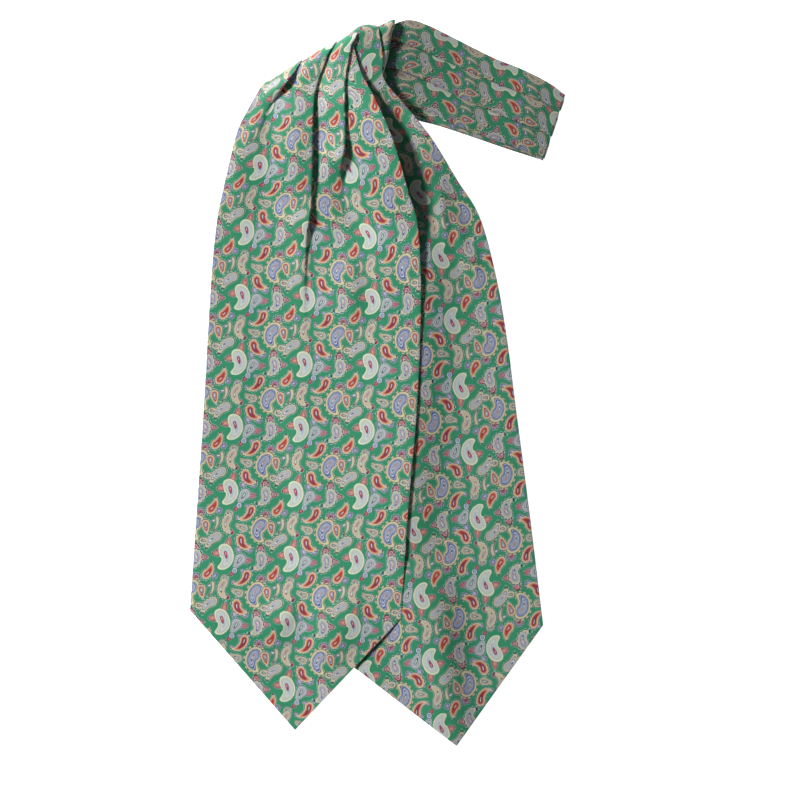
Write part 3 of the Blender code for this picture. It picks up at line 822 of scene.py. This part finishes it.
# %% [markdown]
# ### Silk twill
#
# Silk twill is woven in fine slanting lines and printed afterwards. Its long fibres give a soft
# sheen and no sharp glints, so it gets middling roughness, a little sheen and a lowered
# specular level. A real twill line is about 0.25 mm wide, and 0.9 mm here, so that it shows.
# The darker shades are fitted: they stand in for shading that one sun and an even sky don't
# give, and aren't a property of the silk.

# %% Wobble, motifs and twill lines
WOBBLE = 0.2  # mm that the drawn lines waver to either side
WOBBLE_SCALE = 0.35  # per mm: a waver every 3 mm or so
SPECKLE = 0.06  # of a motif's level
SPECKLE_SCALE = 1.6  # per mm: specks of about 0.6 mm
DYE_SCALE = 0.02  # per mm: patches of about 50 mm
TWILL = 0.9  # mm from line to line
LINE_PER_UNIT = 0.314  # the wave texture's scale that draws one line in each unit
THREAD_RISE = 0.05  # mm


def ring_stops(rings):
    """The first ink, and the level and ink of each later ring."""
    first, *later = rings.split()
    return first, [(float(start), ink) for start, ink in zip(later[::2], later[1::2])]


def wavering(tree, cloth):
    """A slow wobble keeps the drawn lines from looking ruled."""
    waver = add_node(tree, "TexNoise", {"noise_dimensions": "2D"},
                     Vector=cloth, Scale=WOBBLE_SCALE, Detail=2.0).outputs["Color"]
    shift = add_node(tree, "VectorMath", {"operation": "MULTIPLY_ADD"}, i0=waver,
                     i1=(2 * WOBBLE, 2 * WOBBLE, 0.0), i2=(-WOBBLE, -WOBBLE, 0.0)).outputs[0]
    return add_node(tree, "VectorMath", {"operation": "ADD"}, i0=cloth, i1=shift).outputs[0]


def with_motif(tree, colour, motif, drawn, speckle):
    """The colour so far, with one motif printed over it."""
    drawing = add_node(tree, "Group", {"node_tree": paisley}, Cloth=drawn,
                       Place=(motif.right, motif.down, 0.0), Turn=math.radians(motif.turn),
                       **{name: getattr(motif, name.lower()) for name in SHAPE})
    level = add_node(tree, "Math", {"operation": "ADD"},
                     i0=drawing.outputs["Level"], i1=speckle).outputs[0]
    ramp = add_node(tree, "ValToRGB", i0=level)
    stops = ramp.color_ramp
    stops.interpolation = "CONSTANT"
    first, later = ring_stops(motif.rings)
    stops.elements[0].color = linear(INKS[first])
    stops.elements[1].position = 1.0
    stops.elements[1].color = (0.0, 0.0, 0.0, 0.0)
    for start, ink in later:
        stops.elements.new(start).color = linear(INKS[ink])
    return add_node(tree, "Mix", {"data_type": "RGBA"}, i0=ramp.outputs["Alpha"],
                    i6=colour, i7=ramp.outputs["Color"]).outputs[2]


def twill_bump(tree, cloth):
    """The fine slanting lines of the weave."""
    lines = add_node(tree, "Mapping", Vector=cloth, Rotation=(0.0, 0.0, math.radians(45)),
                     Scale=(1 / TWILL, 1 / TWILL, 1.0)).outputs[0]
    ribs = add_node(tree, "TexWave", {"bands_direction": "X"}, Vector=lines,
                    Scale=LINE_PER_UNIT, Distortion=0.6, Detail=1.0).outputs["Fac"]
    return add_node(tree, "Bump", Height=ribs, Distance=THREAD_RISE * MM, Strength=0.6).outputs[0]


print(MOTIFS[0].name, "has the rings", ring_stops(MOTIFS[0].rings))

# %% The silk, with painted shade on the rear blade and the neckband
GREENS = (linear("#2F8A64"), linear("#37936A"))


def printed_silk(name, painted_shade):
    """Printed silk twill, with the whole print made darker by a painted shade."""
    material, tree, shader = new_material(name)
    cloth = add_node(tree, "UVMap", {"uv_map": "cloth"}).outputs["UV"]
    drawn = wavering(tree, cloth)
    grain = add_node(tree, "TexNoise", {"noise_dimensions": "2D"},
                     Vector=cloth, Scale=SPECKLE_SCALE, Detail=1.0).outputs["Fac"]
    speckle = add_node(tree, "Math", {"operation": "MULTIPLY_ADD"},
                       i0=grain, i1=SPECKLE, i2=-SPECKLE / 2).outputs[0]
    dye = add_node(tree, "TexNoise", {"noise_dimensions": "2D"},
                   Vector=cloth, Scale=DYE_SCALE, Detail=3.0).outputs["Fac"]
    colour = add_node(tree, "Mix", {"data_type": "RGBA"}, i0=dye,
                      i6=GREENS[0], i7=GREENS[1]).outputs[2]
    for motif in MOTIFS:
        colour = with_motif(tree, colour, motif, drawn, speckle)
    # painted shade: the whole print is multiplied darker, in place of shading that the light does
    # not give
    print_under_painted_shade = add_node(tree, "Mix", {"data_type": "RGBA", "blend_type": "MULTIPLY"},
                    i0=1.0, i6=colour, i7=linear(painted_shade)).outputs[2]
    set_inputs(tree, shader, Base_Color=print_under_painted_shade, Normal=twill_bump(tree, cloth), Roughness=0.58,
               Specular_IOR_Level=0.3, Sheen_Weight=0.15, Sheen_Roughness=0.4)
    print(name, "has", len(tree.nodes), "nodes")
    return material


front_silk = printed_silk("printed_silk_twill_front", "#FFFFFF")
# the rear blade, its strip and the neckband get painted shade; the front blade has none
rear_silk = printed_silk("printed_silk_twill_rear_painted_shade", "#EBEBEB")
band_silk = printed_silk("printed_silk_twill_band_painted_shade", "#CACACA")

# %% [markdown]
# ## The front blade
#
# The front blade is the wide end on top. Three pleats come down from the neck and open out one
# after another, and at the neck the cloth rolls under. A pleat swallows cloth, so the print
# jumps across each fold. The slants make each jump a little more or less than its even share.

# %% Front blade
BLADE_ROWS = 12  # of points for each section of a blade
FRONT_ROLL_CORNER = 9.0  # over which the roll's underside rises
NECK_FULLNESS = 0.42  # share of the pleats' depth at the neck
BLADE_FLATTENING = 0.55  # what they lose again as they open
FULL_FROM, FULL_LENGTH = 0.6, 2.6  # in rows of the tables
FLAT_FROM, FLAT_LENGTH = 3.0, 4.0
DRIFT_END, DRIFT_FADE = 6.0, 2.0
DRIFT_FROM = 118.0  # mm across, beyond which the print runs aslant
DRIFT_SLOPE = 0.38
FRONT_PRINT = PrintLay(across=23.1, side=1, x=-104.0, y=-76.7, down_x=-0.035, down_y=-1.004)
SWELL = Crease(22, 170, 27, 10, 6, -225, 20, 60, 4.8)  # runs through both blades
FRONT_CREASES = [SWELL] + table(
    Crease,
    (-21, 98, -20, 67, -18, 36, 8, 18, 2.4),
    (-57, -146, -65, -164, -78, -182, 6, 18, 2.4),
    (-30, 136, -17, 115, 20, 94, 4, 5, -1.7),
    (-41.3, 174, -38.5, 158, -34, 140, 3, 2.2, 1.2),
    (-52, 96, -54, 78, -55, 60, 5, 8, 0.8),
    (-3, 120, 0, 80, 4, 40, 8, 8, 0.5),
    (-100, 60, -98, 10, -104, -40, 12, 16, 0.5),
    (-84, -60, -88, -100, -96, -140, 10, 14, 0.5),
    (-20, -140, -28, -172, -44, -206, 11, 24, 2),
    (-104, 150, -100, 128, -98, 100, 8, 7, 0.7),
    (-106, 118, -93, 165, -66, 212, 9, 30, 2.6),
    (24, -20, 17, -120, 10, -215, 9, 14, 0.5),
    (-150, -150, -60, -162, 30, -150, 60, 26, 3),
)


def full_width(width):
    """The whole cloth is in the pleats: its first mm, and how much there is."""
    return 0.0, CLOTH_WIDTH


def front_low(across):
    """The pleats' inner layers stay above the outer ones underneath."""
    return FLOOR_LEVEL + 4 * NECK_FULLNESS * BLADE_FOLD_RADIUS * smooth(across / FRONT_ROLL_CORNER)


def front_paths(position, width):
    """The pleats are pressed thin at the neck, full below it, and flatten as they open."""
    fuller = smooth((position - FULL_FROM) / FULL_LENGTH)
    fullness = NECK_FULLNESS + (1.0 - NECK_FULLNESS) * fuller
    fullness -= BLADE_FLATTENING * smooth((position - FLAT_FROM) / FLAT_LENGTH)
    return pleated_path(width, folds_at(FRONT_FOLDS, position), BLADE_FOLD_RADIUS * fullness)


# a row's number, and the mm that each tuck takes up beyond its even share
FRONT_SLANTS = (
    (0, -2.7, -5.9, -2.8), (0.5, 4, -4.7, 0), (1, 7.2, -2.9, 3), (1.5, 4.3, 0.5, 0.1),
    (2, 1.2, 3.8, -2), (2.5, 0.8, 5.2, -4), (3, 0.2, 5.1, -3.3), (3.5, -1, 2.8, 0),
    (4, -2, 4.5, 0), (4.5, -1.4, 4.3, 0), (5, -0.6, 3, 0), (6, 0, 2, 0), (7, 0, 0, 0),
)


def front_extra(position):
    rows, *tucks = zip(*FRONT_SLANTS)
    return [np.interp(position, rows, values) for values in tucks]


def front_drift(position, across):
    """In the upper half the print runs down at a slant near the right border."""
    fade = 1.0 - smooth((position - DRIFT_END) / DRIFT_FADE)
    return DRIFT_SLOPE * max(across - DRIFT_FROM, 0.0) * fade


sheet = lay_sheet(FRONT_SECTIONS, front_height, front_paths, BLADE_ROWS, full_width, FRONT_PRINT,
                  roll=Roll(low=front_low, sweep=math.pi, slip=1.8, steps=14), tip=FRONT_TIP,
                  creases=FRONT_CREASES, extra=front_extra, drift=front_drift)
cut_to_point(sheet, FRONT_SECTIONS[-1], FRONT_TIP)
front_cloth = finish_cloth("front_blade_cloth", sheet, front_silk, "front_blade")

# %% [markdown]
# ## The rear blade
#
# The rear blade comes over the neckband and down under the front one. Most of it is hidden, so
# it has no pleats here. A strip of the next pleat shows beside it at the neck.

# %% Rear blade
REAR_COLUMNS = 56
REAR_HIDDEN = 0.78  # share of the cloth not in view that lies to the left of what is
REAR_PRINT = PrintLay(across=110.6, side=-1, x=67.6, y=-93.6, down_x=-0.19, down_y=0.971)
REAR_CREASES = [SWELL] + table(
    Crease,
    (42, 141, 44.5, 118, 48, 92, 4.5, 4, 2.1),
    (50, 128, 56, 104, 62, 77, 4, 4, 1.5),
    (66, 100, 66, 84, 70, 62, 4, 4, 1.2),
    (36, -120, 42, -187, 54, -262, 16, 27, 6.8),
    (12, 200, 17, 172, 25, 138, 8, 14, -2.6),
    (84, 0, 80, -60, 88, -120, 14, 18, 0.6),
    (58, 20, 60, -20, 62, -60, 10, 12, 0.5),
)


def rear_paths(position, width):
    path = [(width * i / REAR_COLUMNS, 0.0) for i in range(REAR_COLUMNS + 1)]
    return path, [0] * len(path)


def right_border_width(width):
    """Only the cloth towards the right border lies open; most of the rest is folded below."""
    return REAR_HIDDEN * (CLOTH_WIDTH - width), width


sheet = lay_sheet(REAR_SECTIONS, lambda x, y: blade_height(x, y, REAR_FALL), rear_paths, BLADE_ROWS,
                  right_border_width, REAR_PRINT, tip=REAR_TIP, creases=REAR_CREASES,
                  roll=Roll(low=lambda across: TOP_RUN_LEVEL, sweep=math.radians(150),
                            slip=0.1, steps=10))
cut_to_point(sheet, REAR_SECTIONS[-1], REAR_TIP)
rear_cloth = finish_cloth("rear_blade_cloth", sheet, rear_silk, "rear_blade")

# %% Strip of the rear half's next pleat
STRIP_ROWS = 6  # of points for each section
STRIP_STEPS = 8  # of columns across it
STRIP_GAP = 0.5  # between its roll's underside and the level of the neckband
STRIP_RETURN = 3.0  # mm of cloth that go back under
STRIP_RETURN_STEPS = 3


def neck_pleat_paths(position, width):
    """Across the strip, round its right edge, and a little way back."""
    path = [(0.0, 0.0)]
    edge = width - NECK_FOLD_RADIUS
    run(path, (edge, 0.0), STRIP_STEPS)
    for i in range(1, TURN_STEPS + 1):
        heading = math.pi * i / TURN_STEPS
        path.append((edge + NECK_FOLD_RADIUS * math.sin(heading),
                     -NECK_FOLD_RADIUS * (1 - math.cos(heading))))
    run(path, (edge - STRIP_RETURN, -2 * NECK_FOLD_RADIUS), STRIP_RETURN_STEPS)
    return path, [0] * len(path)


sheet = lay_sheet(NECK_PLEAT_SECTIONS, lambda x, y: NECK_PLEAT_LEVEL, neck_pleat_paths,
                  STRIP_ROWS, right_border_width, REAR_PRINT,
                  roll=Roll(low=lambda across: TOP_RUN_LEVEL + STRIP_GAP,
                            sweep=math.radians(100), slip=0.5, steps=8))
neck_pleat_cloth = finish_cloth("neck_pleat_cloth", sheet, rear_silk, "rear_neck_pleat")

# %% [markdown]
# ## The neckband
#
# The neckband's upper run is pleated into four strips, each lapping over the next one below,
# and folds over at the right end.

# %% Neckband, upper run
BAND_ROWS = 7  # of points for each section
BAND_EXTRA = (5.0, -4.6, -0.4)  # mm that each pleat's tuck takes up beyond its even share
BAND_SLANT = -0.10  # how the print runs down for each mm across
BAND_PRINT = PrintLay(across=1.0, side=-1, x=47.5, y=242.6, down_x=0.91, down_y=-0.385)
BAND_CREASES = table(
    Crease,
    (0, 201, 20, 192, 46, 182.5, 4.5, 2.6, -2.8),
    (9, 262, 9, 225, 4, 190, 18, 10, 1.8),
    (104, 224, 103, 190, 96, 156, 14, 12, 1),
    (60, 228, 62, 205, 60, 186, 8, 8, 0.4),
    (92, 214, 90, 195, 86, 176, 9, 7, 0.4),
)


def band_paths(position, width):
    return pleated_path(width, folds_at(TOP_RUN_FOLDS, position), BAND_FOLD_RADIUS)


sheet = lay_sheet(TOP_RUN_SECTIONS, top_run_height, band_paths, BAND_ROWS, full_width, BAND_PRINT,
                  roll=Roll(low=lambda across: FLOOR_LEVEL + BAND_PLEAT_DROP, sweep=math.pi,
                            slip=0.3, steps=12),
                  creases=BAND_CREASES, extra=lambda position: BAND_EXTRA,
                  drift=lambda position, across: BAND_SLANT * across)
band_cloth = finish_cloth("neckband_cloth", sheet, band_silk, "neckband_top_run")

# %% [markdown]
# ### What lies underneath
#
# The neckband's lower run shows only as a sliver, and nobody sees the layers heaped under the
# neck. One rounded shape stands in for all of it, drawn through rings that go round the heap.

# %% Neckband, lower run and what is heaped under the neck
EDGE_STEPS = 8  # of points round each edge
RUN_STEPS = 5  # of rows for each ring
EDGE_LAYERS = 2
GROOVE_DEPTH = 0.075
WELD_DISTANCE = 1e-6  # m


def ring_row(ring):
    """Once round the heap: the upper edge, then the lower one, each as a half turn."""
    upper = Vector((ring.upper_x, ring.upper_y))
    lower = Vector((ring.lower_x, ring.lower_y))
    inward = (lower - upper).normalized()
    radius = ring.height / 2
    row = []
    for start, corner, side in ((-90, upper, inward), (90, lower, -inward)):
        for i in range(EDGE_STEPS + 1):
            angle = math.radians(start + 180 * i / EDGE_STEPS)
            wave = math.cos(EDGE_LAYERS * (angle - math.radians(start + 90)) * 2)
            plan = corner + side * (radius * (1 - abs(math.cos(angle))) + GROOVE_DEPTH * wave)
            row.append(Vector((plan.x, plan.y, radius + radius * math.sin(angle))))
    return row + [row[0]]


def lower_run():
    """The closed shape, with its two ends filled."""
    count = (len(LOWER_RUN_RINGS) - 1) * RUN_STEPS + 1
    rings = [row_at(LOWER_RUN_RINGS, step / RUN_STEPS) for step in range(count)]
    rows = [ring_row(ring) for ring in rings]
    uppers = [Vector((ring.upper_x, ring.upper_y)) for ring in rings]
    along = [0.0, *accumulate((b - a).length for a, b in zip(uppers, uppers[1:]))]
    across = [[0.0, *accumulate((b - a).length for a, b in zip(row, row[1:]))] for row in rows]
    sheet = grid_mesh(as_array(rows), across, [[value] * len(rows[0]) for value in along])
    bmesh.ops.remove_doubles(sheet, verts=sheet.verts[:], dist=WELD_DISTANCE)
    bmesh.ops.holes_fill(sheet, edges=[edge for edge in sheet.edges if edge.is_boundary], sides=0)
    bmesh.ops.recalc_face_normals(sheet, faces=sheet.faces[:])
    return sheet


lower_cloth = finish_cloth("neckband_under_cloth", lower_run(), band_silk, "neckband_lower_run",
                           thickness=None)
